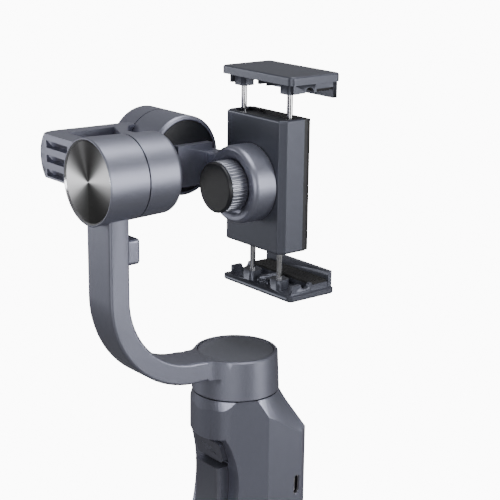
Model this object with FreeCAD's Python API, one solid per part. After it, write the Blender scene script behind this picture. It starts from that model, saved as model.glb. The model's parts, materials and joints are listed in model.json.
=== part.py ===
"""Handheld three-axis camera gimbal for a phone: handle, pan arm, roll arm, tilt arm and sprung clamp.

Frame: origin at the centre of the tripod thread in the handle's foot, +Z up along the pan axis,
+Y from the roll motor toward the phone, +X along the phone's long side. Millimetres.
"""
import FreeCAD, Part
import math
import os

from FreeCAD import Vector as V

# ---- driving dimensions -------------------------------------------------------------------

# handle
HANDLE_TOP = 156.8          # top of the handle, under the pan seam
GRIP_HALF_X = 20.0          # half width across the flat sides
GRIP_FRONT_Y = 24.6         # control face on the thumb side
GRIP_FRONT_ROUND = 4.5
GRIP_BACK_Y = -14.3         # corner between side facet and finger side
GRIP_BACK_X = 13.0          # half width of the finger side
GRIP_BACK_ROUND = 9.0
GRIP_BULGE = 4.2            # crown of the finger side
FACET_START_Y = 2.3         # where the flat side turns into the facet
PALM_STEP_Y = 2.9           # how much thinner the lower grip is
PALM_Z = (36.0, 64.0)       # where the lower grip swells to the control face
SHELL_WALL = 2.2
SCOOP_Z = HANDLE_TOP - 37.8  # middle of the finger scoop
SCOOP_TOP_Z = HANDLE_TOP - 15.4
SCOOP_R = 48.0
SCOOP_DEPTH_Y = -9.4        # deepest line of the scoop
BASE_CAP_H = 6.0

# pan hub and arm
SEAM_GAP = 0.6              # gap between the two halves of the roll and tilt motors
PAN_GAP = 0.8               # gap under the pan hub
HUB_TOP = HANDLE_TOP + 17.2
HUB_R_TOP = 17.7
HUB_R_BOTTOM = 18.4
CAP_DISC_R = 15.9
ARM_HALF_X = 8.3
ARM_OUTER_Y = -66.5         # outer face of the upright
ARM_BEND_R = 41.3           # outer radius of the bend
ARM_THICK = 9.0
ARM_EDGE_R = 1.2

# motors
MOTOR_R = 16.85
MOTOR_WALL = 1.8
ROLL_AXIS_Z = HUB_TOP + 80.3
ROLL_CAP_Y = -70.9
ROLL_SEAM_Y = -53.6
ROLL_REAR_Y = -37.6
ROLL_REAR_R = 15.8
TILT_R = 16.5
TILT_AXIS_Y = -12.6
TILT_LEFT_X = -48.9
TILT_SEAM_X = -37.4
TILT_RIGHT_X = -18.0
SHAFT_R = 1.5
BEARING_R = 4.0
BEARING_W = 3.0
TUBE_R = 4.8
CORE_R = 11.6
CORE_H = 6.0
MAGNET_T = 1.4
AIR_GAP = 0.4
TEETH = 12
MAGNETS = 14

# roll arm
BAR_INNER_X = -35.5         # inner face of the wall beside the roll motor
BAR_BULGE = 3.4             # crown of the wall's outer face
BAR_END_Y = -65.4
BAR_BLOCK_Y = -57.2         # inner face of the end block
BAR_PLAN = ((BAR_END_Y, -39.6), (-64.6, -41.0), (-63.0, -42.3), (-60.6, -43.2), (-57.0, -43.4),
            (-45.3, -42.6), (-24.0, -41.6))    # y and outer edge x of the wall's sections
BAR_TOP_Z = ROLL_AXIS_Z + 11.7
BAR_BOTTOM_Z = ROLL_AXIS_Z - 5.9
POCKET_H = 2.9
POCKET_PITCH = 5.65
POCKET_MID_Z = ROLL_AXIS_Z + 2.1
POCKET_DEPTH = 3.0
SWING_GAP = 0.65            # air between the arm and the halves it swings past

# tilt arm and clamp pivot
PIVOT_X = 4.1
PIVOT_Z = ROLL_AXIS_Z - 8.8
BOSS_FRONT_Y = -6.4
BOSS_REAR_Y = 3.9
BOSS_R = 15.8
TILT_BAR_TOP_Z = ROLL_AXIS_Z + 1.9
TILT_BAR_FRONT_Y = -4.4
TILT_BAR_H = 19.2
TILT_BAR_T = 6.7
KNOB_R = 10.4
KNOB_FACE_Y = -14.8
KNOB_CAP_T = 1.5
CAP_SPIGOT_R = 6.0
KNOB_SKIRT_Y = -5.4         # the knob's foot inside the boss recess
STUD_R = 2.5

# clamp
CLAMP_FACE_Y = 4.2
CLAMP_HALF_X = 18.2
CLAMP_HALF_Z = 27.2
CLAMP_MID_Z = PIVOT_Z
CLAMP_CHAMFER_X = 1.7
CLAMP_CHAMFER_Y = 3.0
CLAMP_SIDE_Y = 16.0         # rear rim of the clamp shell
CLAMP_WALL = 2.0
PLATE_PLUG = 1.4            # how far the back plate reaches into the shell
PAD_BACK_Y = 19.6           # phone seat
PHONE_SPAN = 77.6           # grip face to grip face as stored
GRIP_BOTTOM_Z = PIVOT_Z - 40.3
GRIP_TOP_Z = GRIP_BOTTOM_Z + PHONE_SPAN
JAW_HALF_X = 22.2
JAW_BACK_Y = 31.0
LIP_T = 2.0
ROD_R = 1.2
# jaw: grip face, side, half rod spacing, rod y, plate front y, grip face to outer face, plate thickness
JAWS = {"upper": (GRIP_TOP_Z, 1, 14.4, 11.3, 5.3, 7.3, 3.4),
        "lower": (GRIP_BOTTOM_Z, -1, 8.7, 12.3, 6.6, 6.2, 2.4)}

# fits
RUN_GAP = 0.05              # running fit, radial
SLIDE_GAP = 0.15
PLUG_GAP = 0.1
BODY_GAP = 0.3              # air between pieces that move past each other

# inside of each motor, on its own Z from the fixed half (z < 0) to the turning half (z > 0)
CAVITY_R = CORE_R + AIR_GAP + MAGNET_T
CORE_Z = 1.5
FLANGE_Z = -5.0
FLANGE_T = 2.0
TUBE_TOP = 9.0
ROOF_Z = 9.5
BEARING_Z = (-2.8, TUBE_TOP - BEARING_W - 0.2)
SHAFT_TOP = 13.0
SHAFT_BOTTOM = -4.4

# handle: openings and contents
PANEL_HALF_X = 13.5
PANEL_Z = (HANDLE_TOP - 90.8, HANDLE_TOP - 22.8)
PANEL_T = 2.4
CAVITY_Y = (-5.2, GRIP_FRONT_Y - 4.9)
CAVITY_Z = (BASE_CAP_H, HANDLE_TOP - 17.8)
PAN_POCKET_R = 15.2
BUTTON_HALF_X = 8.5
BUTTON_Z = (HANDLE_TOP - 28.4, HANDLE_TOP - 19.4)
BUTTON_FACE_Y = (-13.0, -15.0)    # face of the function button at its foot and top
BUTTON_FLOOR_Y = -8.6             # floor of its room in the shell
TRIGGER_HALF_X = 8.0
TRIGGER_Z = (HANDLE_TOP - 64.3, HANDLE_TOP - 30.6)
TRIGGER_PIVOT = (-6.2, TRIGGER_Z[1] - 3.6)    # y, z of the trigger's pin
TRIGGER_BACK_Y = (-4.2, -8.6)     # back of the trigger at its top and foot
TRIGGER_ROOM_Y = (-3.2, -4.0)     # how deep its room in the shell goes
PIN_R = 1.0
STICK_Z = HANDLE_TOP - 38.8
STICK_PIVOT_Y = GRIP_FRONT_Y - 7.5
STICK_HOLE_R = 5.6
STICK_RISE = 2.4                  # air under the joystick's cap
SHUTTER_Z = HANDLE_TOP - 57.8
SHUTTER_R = 5.5
MODE_Z = HANDLE_TOP - 73.8
MODE_HALF_X = 5.0
MODE_HALF_Z = 2.6
TRIPOD_R = 3.175
TRIPOD_DEPTH = 9.0
USB_Y = GRIP_FRONT_Y - 6.6
USB_Z = HANDLE_TOP - 42.5
USB_HALF_W = 4.5
USB_HALF_T = 1.6
BATTERY_R = 9.1
BATTERY_LEN = 65.0
BATTERY_Y = 5.0
BATTERY_Z = 14.0
BOARD_Y = GRIP_FRONT_Y - 14.6
BOARD_T = 1.4

# pan arm: derived
ARM_INNER_R = ARM_BEND_R - ARM_THICK
BEND_Y = ARM_OUTER_Y + ARM_BEND_R
BEND_Z = HUB_TOP + 1.7 + ARM_INNER_R
ARM_LOW_Z = BEND_Z - ARM_BEND_R
NECK_R = 9.5
CAP_SEAT = 1.5
STOP_HALF_X = 5.5
STOP_Z = (ROLL_AXIS_Z - 33.7, ROLL_AXIS_Z - 23.3)
STOP_REACH = 6.8

# tilt arm
END_DISC_T = 1.2

# clamp: inside
CLAMP_LOW = CLAMP_MID_Z - CLAMP_HALF_Z
CLAMP_HIGH = CLAMP_MID_Z + CLAMP_HALF_Z
END_RECESS = 1.4
END_WALL = 1.5
POST_X = 3.4
POST_Z = 22.0
SCREW_R = 0.9
ROD_TRAVEL = 6.0
COLLAR_R = 1.9
FOOT_Y = (PAD_BACK_Y, PAD_BACK_Y + 9.3)

os.makedirs("parts", exist_ok=True)


# ---- helpers ------------------------------------------------------------------------------

def box(x0, x1, y0, y1, z0, z1):
    return Part.makeBox(x1 - x0, y1 - y0, z1 - z0, V(x0, y0, z0))


def rod(radius, start, end):
    axis = end - start
    return Part.makeCylinder(radius, axis.Length, start, axis)


def ring(outer, inner, start, end):
    return rod(outer, start, end).cut(rod(inner, start, end))


def spin(profile):
    """Solid of revolution about the local Z axis from (radius, height) points."""
    wire = Part.makePolygon([V(r, 0, z) for r, z in profile + profile[:1]])
    return Part.Face(wire).revolve(V(0, 0, 0), V(0, 0, 1), 360)


def prism(points, direction):
    wire = Part.makePolygon(points + points[:1])
    return Part.Face(wire).extrude(direction)


def fused(shapes):
    return shapes[0].multiFuse(shapes[1:]).removeSplitter()


def round_edges(shape, radius, keep):
    """Fillet the edges that keep(edge) picks."""
    return shape.makeFillet(radius, [e for e in shape.Edges if keep(e)])


def chamfer_edges(shape, size, keep):
    """Chamfer the edges that keep(edge) picks."""
    return shape.makeChamfer(size, [e for e in shape.Edges if keep(e)])


def middle(edge):
    return edge.valueAt((edge.FirstParameter + edge.LastParameter) / 2)


def on_ring(edge, radius, tolerance=0.02):
    curve = edge.Curve
    return hasattr(curve, "Radius") and abs(curve.Radius - radius) < tolerance


def polar(shape, count, centre=V(0, 0, 0), axis=V(0, 0, 1)):
    copies = []
    for step in range(count):
        copy = shape.copy()
        copy.rotate(centre, axis, step * 360.0 / count)
        copies.append(copy)
    return copies


def placed(shape, origin, axis):
    """Move a shape built about local +Z so that its Z lies along axis at origin."""
    moved = shape.copy()
    frame = FreeCAD.Placement(origin, FreeCAD.Rotation(V(0, 0, 1), axis))
    moved.Placement = frame.multiply(moved.Placement)
    return moved


def save(name, shape):
    solids = shape.Solids
    assert solids and all(s.isValid() and s.Volume > 0 for s in solids), name
    out = solids[0] if len(solids) == 1 else Part.makeCompound(solids)
    out.exportStep("parts/" + name + ".step")
    print(f"{name:24s} solids {len(solids):2d}  volume {sum(s.Volume for s in solids):9.1f}")


# ---- motors: one layout, local Z from the fixed half (z < 0) to the turning half (z > 0) ----


def bearing_tube():
    """Tube that carries both bearings, standing on the flange of the fixed half."""
    tube = ring(TUBE_R, 2.9, V(0, 0, FLANGE_Z + FLANGE_T - 0.5), V(0, 0, TUBE_TOP))
    for z in BEARING_Z:
        low = z if z > 0 else FLANGE_Z
        high = TUBE_TOP if z > 0 else z + BEARING_W
        tube = tube.cut(rod(BEARING_R, V(0, 0, low), V(0, 0, high)))
    return tube


def bearings():
    inner = SHAFT_R + RUN_GAP
    return [ring(BEARING_R, inner, V(0, 0, z), V(0, 0, z + BEARING_W)) for z in BEARING_Z]


def shaft():
    return rod(SHAFT_R, V(0, 0, SHAFT_BOTTOM), V(0, 0, SHAFT_TOP))


def stator_core():
    """Laminated star: a back ring and twelve T-shaped teeth."""
    back = ring(6.6, TUBE_R, V(0, 0, CORE_Z), V(0, 0, CORE_Z + CORE_H))
    tooth = box(6.0, CORE_R - 0.8, -0.8, 0.8, CORE_Z, CORE_Z + CORE_H)
    tip = ring(CORE_R, CORE_R - 1.2, V(0, 0, CORE_Z), V(0, 0, CORE_Z + CORE_H))
    tip = tip.common(box(0, CORE_R + 1, -2.3, 2.3, CORE_Z, CORE_Z + CORE_H))
    return fused([back] + polar(tooth.fuse(tip), TEETH))


def windings():
    """One copper coil round each tooth."""
    coil = box(6.9, CORE_R - 1.4, -1.5, 1.5, CORE_Z - 0.8, CORE_Z + CORE_H + 0.8)
    coil = coil.cut(box(6.0, CORE_R, -0.8, 0.8, CORE_Z, CORE_Z + CORE_H))
    return polar(coil, TEETH)


def magnets():
    """Arc magnets glued inside the turning half."""
    whole = ring(CAVITY_R, CAVITY_R - MAGNET_T, V(0, 0, CORE_Z), V(0, 0, CORE_Z + CORE_H))
    half = math.radians(360 / MAGNETS / 2 - 1.6)
    reach = CAVITY_R * 1.2
    wedge = prism([V(0, 0, 0), V(reach * math.cos(half), -reach * math.sin(half), 0),
                   V(reach * math.cos(half), reach * math.sin(half), 0)], V(0, 0, 20))
    return polar(whole.common(wedge), MAGNETS)


def rotor_cavity(start):
    """Room for the stator and magnets, with the shaft's press bore above it."""
    cavity = rod(CAVITY_R, V(0, 0, start), V(0, 0, ROOF_Z))
    return cavity.fuse(rod(SHAFT_R, V(0, 0, ROOF_Z - 1), V(0, 0, SHAFT_TOP)))


PAN = (V(0, 0, HANDLE_TOP), V(0, 0, 1))
ROLL = (V(0, ROLL_SEAM_Y, ROLL_AXIS_Z), V(0, 1, 0))
TILT = (V(TILT_SEAM_X, TILT_AXIS_Y, ROLL_AXIS_Z), V(1, 0, 0))


def save_motor(name, spot):
    """The pieces every axis has inside: core, coils, bearings, magnets and shaft."""
    for piece, shapes in (("stator_core", [stator_core()]), ("windings", windings()),
                          ("bearings", bearings()), ("magnets", magnets()), ("shaft", [shaft()])):
        save(name + "_" + piece, Part.makeCompound([placed(s, *spot) for s in shapes]))


# ---- handle -------------------------------------------------------------------------------

def grip_outline(inset, z, front_y=GRIP_FRONT_Y):
    """Section of the grip: flat sides, slanted facets and a crowned finger side."""
    x = GRIP_HALF_X - inset
    front = front_y - inset
    facet = V(x, FACET_START_Y, z)
    corner = V(GRIP_BACK_X - inset * 0.6, GRIP_BACK_Y + inset, z)
    crown_r = (corner.x ** 2 + GRIP_BULGE ** 2) / (2 * GRIP_BULGE)
    hub = V(0, corner.y - GRIP_BULGE + crown_r, z)
    # arc of radius GRIP_BACK_ROUND that touches the facet and the crown
    along = (corner - facet).normalize()
    base = facet + V(along.y, -along.x, 0) * GRIP_BACK_ROUND - hub
    gap = crown_r - GRIP_BACK_ROUND
    run = -base.dot(along) + math.sqrt(base.dot(along) ** 2 - base.dot(base) + gap ** 2)
    centre = hub + base + along * run
    leave = facet + along * run
    meet = hub + (centre - hub) * (crown_r / gap)
    turn = centre + ((leave - centre) + (meet - centre)).normalize() * GRIP_BACK_ROUND
    flip = lambda p: V(-p.x, p.y, p.z)
    f = GRIP_FRONT_ROUND
    bend = f * (1 - math.sqrt(0.5))
    side, face = V(x, front - f, z), V(x - f, front, z)
    elbow = V(x - bend, front - bend, z)
    edges = [Part.Arc(meet, turn, leave).toShape(), Part.makeLine(leave, facet), Part.makeLine(facet, side),
             Part.Arc(side, elbow, face).toShape(), Part.makeLine(face, flip(face)),
             Part.Arc(flip(face), flip(elbow), flip(side)).toShape(), Part.makeLine(flip(side), flip(facet)),
             Part.makeLine(flip(facet), flip(leave)), Part.Arc(flip(leave), flip(turn), flip(meet)).toShape(),
             Part.Arc(flip(meet), V(0, hub.y - crown_r, z), meet).toShape()]
    return Part.Wire(edges)


def grip_prism(inset, z0, z1):
    return Part.Face(grip_outline(inset, z0)).extrude(V(0, 0, z1 - z0))


def shoulder():
    """Ruled skin from the pan seam's circle down through the grip's corners; it trims the grip's top."""
    top_r = HUB_R_BOTTOM - 0.3
    drop = 20.0
    low = HANDLE_TOP - drop
    # seam angle, corner x and y, and how far under the seam the skin passes that corner
    marks = ((-90.0, 0.0, -18.5, 5.3), (-47.7, 13.0, -14.3, 4.6), (0.0, 20.0, 2.3, 8.0), (47.5, 18.5, 23.1, 16.8))
    at = lambda deg, z: V(top_r * math.cos(math.radians(deg)), top_r * math.sin(math.radians(deg)), z)
    foot = [V(*(at(a, 0) + (V(x, y, 0) - at(a, 0)) * (drop / fall))[:2], low) for a, x, y, fall in marks]
    flip = lambda p: V(-p.x, p.y, p.z)
    angles = [180.0, 227.7, 270.0, 312.3, 360.0]
    round_back = Part.BSplineCurve()
    round_back.interpolate(Points=[flip(foot[2]), flip(foot[1]), foot[0], foot[1], foot[2]], Parameters=angles)
    spans = [(0, 47.5), (47.5, 132.5), (132.5, 180), (180, 360)]
    top = [Part.Arc(at(a, HANDLE_TOP), at((a + b) / 2, HANDLE_TOP), at(b, HANDLE_TOP)).toShape() for a, b in spans]
    bottom = [Part.makeLine(foot[2], foot[3]), Part.makeLine(foot[3], flip(foot[3])),
              Part.makeLine(flip(foot[3]), flip(foot[2])), round_back.toShape()]
    skirt = Part.makeLoft([Part.Wire(top), Part.Wire(bottom)], True, True)
    return skirt, box(-30, 30, -30, 30, -1, low)


def scoop():
    """Finger scoop on the back of the grip, closed at the top by a sloping ledge."""
    bend = rod(SCOOP_R, V(-30, SCOOP_DEPTH_Y - SCOOP_R, SCOOP_Z), V(30, SCOOP_DEPTH_Y - SCOOP_R, SCOOP_Z))
    keep = prism([V(-30, -40, SCOOP_Z - 75), V(-30, 0, SCOOP_Z - 75), V(-30, 0, SCOOP_TOP_Z + 4.0), V(-30, -12, SCOOP_TOP_Z),
                  V(-30, -40, SCOOP_TOP_Z - 9.0)], V(60, 0, 0))
    return bend.common(keep)


def grip_body():
    """Slimmer palm section below, full section at the controls, trimmed by the shoulder and the scoop."""
    skirt, below = shoulder()
    palm_y = GRIP_FRONT_Y - PALM_STEP_Y
    palm = Part.Face(grip_outline(0, 0, palm_y)).extrude(V(0, 0, PALM_Z[0]))
    swell = Part.makeLoft([grip_outline(0, PALM_Z[0], palm_y), grip_outline(0, PALM_Z[1])], True, True)
    grip = fused([palm, swell, grip_prism(0, PALM_Z[1], HANDLE_TOP)])
    grip = grip.common(skirt).fuse(grip.common(below)).removeSplitter()
    return grip.cut(scoop())


def cavity(gap, z0, z1):
    """Room inside the shell: the grip's section less the wall, flat behind the scoop and the panel."""
    room = grip_prism(SHELL_WALL + gap, z0, z1)
    return room.common(box(-30, 30, CAVITY_Y[0] + gap, CAVITY_Y[1] - gap, z0, z1))


def slot_prism(half_w, half_t, x0, x1, y, z):
    """Rounded slot, tall in Z, running along X."""
    core = box(x0, x1, y - half_t, y + half_t, z - half_w + half_t, z + half_w - half_t)
    ends = [rod(half_t, V(x0, y, z + s * (half_w - half_t)), V(x1, y, z + s * (half_w - half_t)))
            for s in (-1, 1)]
    return fused([core] + ends)


def trigger_profile(grow, back_y):
    """Side outline of the trigger in Y and Z: a concave face over a flat back (top and foot)."""
    z0, z1 = TRIGGER_Z
    a, b = V(0, -19.4 - grow, z0 - grow), V(0, -15.4 - grow, z1 + grow)
    face = Part.Arc(a, V(0, -15.0 - grow, z0 + 20.0), b)
    back_top, back_low = V(0, back_y[0], z1 + grow), V(0, back_y[1], z0 - grow)
    wire = Part.Wire([face.toShape(), Part.makeLine(b, back_top), Part.makeLine(back_top, back_low),
                      Part.makeLine(back_low, a)])
    return Part.Face(wire)


def panel_holes(gap):
    """Openings of the thumb panel: stick, shutter and mode buttons."""
    stick = rod(STICK_HOLE_R, V(0, 10, STICK_Z), V(0, 30, STICK_Z))
    shutter = rod(SHUTTER_R + gap, V(0, 10, SHUTTER_Z), V(0, 30, SHUTTER_Z))
    half = MODE_HALF_Z + gap
    mode = box(-MODE_HALF_X + MODE_HALF_Z, MODE_HALF_X - MODE_HALF_Z, 10, 30, MODE_Z - half, MODE_Z + half)
    ends = [rod(half, V(s * (MODE_HALF_X - MODE_HALF_Z), 10, MODE_Z),
                V(s * (MODE_HALF_X - MODE_HALF_Z), 30, MODE_Z)) for s in (-1, 1)]
    return fused([stick, shutter, fused([mode] + ends)])


def handle_shell():
    shell = grip_body()
    shell = shell.cut(box(-30, 30, -30, 30, -1, BASE_CAP_H))
    shell = shell.cut(cavity(0, CAVITY_Z[0] - 1, CAVITY_Z[1]))
    shell = shell.cut(rod(PAN_POCKET_R, V(0, 0, HANDLE_TOP + FLANGE_Z), V(0, 0, HANDLE_TOP + 1)))
    shell = shell.cut(rod(TUBE_R + 3, V(0, 0, CAVITY_Z[1] - 1), V(0, 0, HANDLE_TOP)))
    recess = box(-PANEL_HALF_X, PANEL_HALF_X, GRIP_FRONT_Y - PANEL_T, 30, *PANEL_Z)
    shell = shell.cut(recess).cut(panel_holes(SLIDE_GAP + 1.0))
    button = box(-BUTTON_HALF_X - BODY_GAP, BUTTON_HALF_X + BODY_GAP, -30, BUTTON_FLOOR_Y,
                 BUTTON_Z[0] - BODY_GAP, BUTTON_Z[1] + BODY_GAP)
    ledge = box(-BUTTON_HALF_X + 1.4, BUTTON_HALF_X - 1.4, BUTTON_FLOOR_Y, 0, BUTTON_Z[0] + 1.4, BUTTON_Z[1] - 1.4)
    button_pocket = button.fuse(ledge)
    trigger = trigger_profile(1.4, TRIGGER_ROOM_Y).extrude(V(2 * TRIGGER_HALF_X + 2 * BODY_GAP, 0, 0))
    trigger.translate(V(-TRIGGER_HALF_X - BODY_GAP, 0, 0))
    pin_half = TRIGGER_HALF_X + 2.4
    pin = rod(PIN_R, V(-pin_half, *TRIGGER_PIVOT), V(pin_half, *TRIGGER_PIVOT))
    shell = shell.cut(button_pocket).cut(trigger)
    lugs = [box(s * (TRIGGER_HALF_X + BODY_GAP + 1.2) - 1.2, s * (TRIGGER_HALF_X + BODY_GAP + 1.2) + 1.2,
                TRIGGER_PIVOT[0] - 2.2, TRIGGER_PIVOT[0] + 3.0, TRIGGER_PIVOT[1] - 2.4,
                TRIGGER_PIVOT[1] + 2.4) for s in (-1, 1)]
    shell = shell.multiFuse(lugs).cut(pin)
    usb = slot_prism(USB_HALF_W, USB_HALF_T, 10, 30, USB_Y, USB_Z)
    return shell.cut(usb).removeSplitter()


def front_panel():
    panel = box(-PANEL_HALF_X, PANEL_HALF_X, GRIP_FRONT_Y - PANEL_T, GRIP_FRONT_Y, *PANEL_Z)
    panel = panel.cut(panel_holes(SLIDE_GAP))
    rim = lambda e: abs(middle(e).y - GRIP_FRONT_Y) < 0.01 and e.Length > 20
    return chamfer_edges(panel, 0.4, rim)


def base_cap():
    cap = grip_body().common(box(-30, 30, -30, 30, 0, BASE_CAP_H))
    plug = cavity(PLUG_GAP, BASE_CAP_H - 0.5, BASE_CAP_H + 5.0)
    cap = cap.fuse(plug).removeSplitter()
    lower = lambda e: abs(middle(e).z) < 0.01
    cap = chamfer_edges(cap, 0.8, lower)
    return cap.cut(rod(TRIPOD_R + 1.6, V(0, 0, -1), V(0, 0, TRIPOD_DEPTH))).removeSplitter()


def tripod_insert():
    body = ring(TRIPOD_R + 1.6, TRIPOD_R, V(0, 0, 0), V(0, 0, TRIPOD_DEPTH))
    return body


def pan_motor_base():
    flange = ring(PAN_POCKET_R, 2.4, V(0, 0, FLANGE_Z), V(0, 0, FLANGE_Z + FLANGE_T))
    base = fused([flange, bearing_tube()])
    return placed(base.cut(rod(BEARING_R, V(0, 0, FLANGE_Z), V(0, 0, BEARING_Z[0] + BEARING_W))), *PAN)


def battery_cell():
    cell = rod(BATTERY_R, V(0, BATTERY_Y, BATTERY_Z), V(0, BATTERY_Y, BATTERY_Z + BATTERY_LEN - 1.6))
    tip = rod(2.8, V(0, BATTERY_Y, BATTERY_Z + BATTERY_LEN - 1.6), V(0, BATTERY_Y, BATTERY_Z + BATTERY_LEN))
    return cell.fuse(tip)


def battery_cradle():
    r = BATTERY_R + 0.2
    cradle = box(-r - 1.6, r + 1.6, CAVITY_Y[0] + 0.2, BATTERY_Y, BASE_CAP_H + 5.2, BATTERY_Z + BATTERY_LEN + 2)
    return cradle.cut(rod(r, V(0, BATTERY_Y, BATTERY_Z - 0.2), V(0, BATTERY_Y, BATTERY_Z + BATTERY_LEN + 0.2)))


def main_board():
    board = box(-14.0, 14.0, BOARD_Y, BOARD_Y + BOARD_T, MODE_Z + 1.0, CAVITY_Z[1] - 4.0)
    chips = [box(-5, 5, BOARD_Y - 1.2, BOARD_Y, MODE_Z + 13, MODE_Z + 23),
             box(-11, -6, BOARD_Y - 1.0, BOARD_Y, STICK_Z - 6, STICK_Z),
             box(5, 10, BOARD_Y - 1.0, BOARD_Y, STICK_Z - 6, STICK_Z - 1)]
    switch_y = BOARD_Y + BOARD_T + 2.8
    posts = [rod(r, V(0, BOARD_Y + BOARD_T, z), V(0, switch_y, z)) for r, z in ((2.2, SHUTTER_Z), (1.8, MODE_Z + 2.2))]
    return fused([board] + chips + posts)


def usb_socket():
    shell = slot_prism(USB_HALF_W - 0.05, USB_HALF_T - 0.05, GRIP_HALF_X - 7.8, GRIP_HALF_X - 0.5, USB_Y, USB_Z)
    bore = slot_prism(USB_HALF_W - 0.5, USB_HALF_T - 0.45, GRIP_HALF_X - 6.6, GRIP_HALF_X, USB_Y, USB_Z)
    tongue = box(GRIP_HALF_X - 7.0, GRIP_HALF_X - 1.6, USB_Y - 0.35, USB_Y + 0.35, USB_Z - 3.3, USB_Z + 3.3)
    return fused([shell.cut(bore), tongue])


def function_button():
    """Key in the scoop: its face leans with the scoop and has four slanting grooves."""
    z0, z1 = BUTTON_Z
    y0, y1 = BUTTON_FACE_Y
    back = BUTTON_FLOOR_Y - 1.2
    cap = prism([V(-BUTTON_HALF_X, y0, z0), V(-BUTTON_HALF_X, y1, z1), V(-BUTTON_HALF_X, back, z1),
                 V(-BUTTON_HALF_X, back, z0)], V(2 * BUTTON_HALF_X, 0, 0))
    upright = lambda e: abs(abs(middle(e).x) - BUTTON_HALF_X) < 0.01 and abs(e.tangentAt(e.FirstParameter).y) > 0.9
    cap = round_edges(cap, 1.6, upright)
    middle_y, middle_z = (y0 + y1) / 2, (z0 + z1) / 2
    lean = math.degrees(math.atan2(y0 - y1, z1 - z0))
    grooves = []
    for step in range(4):
        groove = box(-2.6, 2.6, -1.0, 0.4, -0.35, 0.35)
        groove.rotate(V(0, 0, 0), V(0, 1, 0), 40)
        groove.translate(V(1.8 * step - 2.7, 0, 0))
        groove.rotate(V(0, 0, 0), V(1, 0, 0), lean)
        groove.translate(V(0, middle_y, middle_z))
        grooves.append(groove)
    stem = box(-BUTTON_HALF_X + 1.7, BUTTON_HALF_X - 1.7, back - 0.1, CAVITY_Y[0] + 1.2, z0 + 1.7, z1 - 1.7)
    return fused([cap.cut(Part.makeCompound(grooves)), stem])


def trigger():
    body = trigger_profile(0, TRIGGER_BACK_Y).extrude(V(2 * TRIGGER_HALF_X, 0, 0))
    body.translate(V(-TRIGGER_HALF_X, 0, 0))
    body = chamfer_edges(body, 0.8, lambda e: hasattr(e.Curve, "Radius"))
    bore = rod(PIN_R + RUN_GAP, V(-20, *TRIGGER_PIVOT), V(20, *TRIGGER_PIVOT))
    return body.cut(bore)


def trigger_pin():
    half = TRIGGER_HALF_X + 2.4
    return rod(PIN_R, V(-half, *TRIGGER_PIVOT), V(half, *TRIGGER_PIVOT))


def shutter_button():
    face = GRIP_FRONT_Y + 0.9
    cap = rod(SHUTTER_R, V(0, GRIP_FRONT_Y - PANEL_T - 2.0, SHUTTER_Z), V(0, face, SHUTTER_Z))
    cap = round_edges(cap, 0.5, lambda e: abs(middle(e).y - face) < 0.01)
    stem = rod(2.2, V(0, BOARD_Y + BOARD_T + 3.8, SHUTTER_Z), V(0, GRIP_FRONT_Y - PANEL_T - 1.9, SHUTTER_Z))
    flange_y = GRIP_FRONT_Y - PANEL_T - 3.2
    flange = rod(SHUTTER_R + 0.8, V(0, flange_y, SHUTTER_Z), V(0, flange_y + 1.2, SHUTTER_Z))
    return fused([cap, stem, flange])


def mode_button():
    face = GRIP_FRONT_Y + 0.8
    span = MODE_HALF_X - MODE_HALF_Z
    y0 = GRIP_FRONT_Y - PANEL_T - 2.0
    cap = box(-span, span, y0, face, MODE_Z - MODE_HALF_Z, MODE_Z + MODE_HALF_Z)
    ends = [rod(MODE_HALF_Z, V(s * span, y0, MODE_Z), V(s * span, face, MODE_Z)) for s in (-1, 1)]
    cap = round_edges(fused([cap] + ends), 0.4, lambda e: abs(middle(e).y - face) < 0.01)
    stem = rod(1.6, V(0, BOARD_Y + BOARD_T + 3.8, MODE_Z), V(0, y0 + 0.1, MODE_Z))
    return fused([cap, stem])


def joystick_cradle():
    outer = ring(4.6, 3.1, V(0, STICK_PIVOT_Y - 1.2, STICK_Z), V(0, STICK_PIVOT_Y + 1.2, STICK_Z))
    arms = [rod(0.8, V(s * 4.4, STICK_PIVOT_Y, STICK_Z), V(s * 6.4, STICK_PIVOT_Y, STICK_Z)) for s in (-1, 1)]
    bore = rod(0.6, V(0, STICK_PIVOT_Y, STICK_Z - 6), V(0, STICK_PIVOT_Y, STICK_Z + 6))
    return fused([outer] + arms).cut(bore)


def joystick_mount():
    """Block on the board that holds the cradle's two side pins."""
    y = BOARD_Y + BOARD_T
    blocks = [box(s * 6.0 - 0.9, s * 6.0 + 0.9, y, STICK_PIVOT_Y + 1.6, STICK_Z - 2.0, STICK_Z + 2.0)
              for s in (-1, 1)]
    base = box(-6.9, 6.9, y, y + 1.0, STICK_Z - 4.0, STICK_Z + 4.0)
    bores = rod(0.8 + RUN_GAP, V(-8, STICK_PIVOT_Y, STICK_Z), V(8, STICK_PIVOT_Y, STICK_Z))
    return fused([base] + blocks).cut(bores)


def joystick_cap():
    root = rod(2.0, V(0, STICK_PIVOT_Y - 1.6, STICK_Z), V(0, GRIP_FRONT_Y + STICK_RISE + 0.2, STICK_Z))
    cap_y = GRIP_FRONT_Y + STICK_RISE
    dish = Part.makeSphere(14.0, V(0, cap_y + 2.6 + 13.4, STICK_Z))
    cap = rod(6.8, V(0, cap_y, STICK_Z), V(0, cap_y + 2.6, STICK_Z))
    cap = round_edges(cap, 0.8, lambda e: on_ring(e, 6.8)).cut(dish)
    bore = rod(0.6 + RUN_GAP, V(0, STICK_PIVOT_Y, STICK_Z - 6), V(0, STICK_PIVOT_Y, STICK_Z + 6))
    return fused([root, cap]).cut(bore)


def joystick_pin():
    return rod(0.6, V(0, STICK_PIVOT_Y, STICK_Z - 4.5), V(0, STICK_PIVOT_Y, STICK_Z + 4.5))


# ---- pan arm ------------------------------------------------------------------------------


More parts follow.
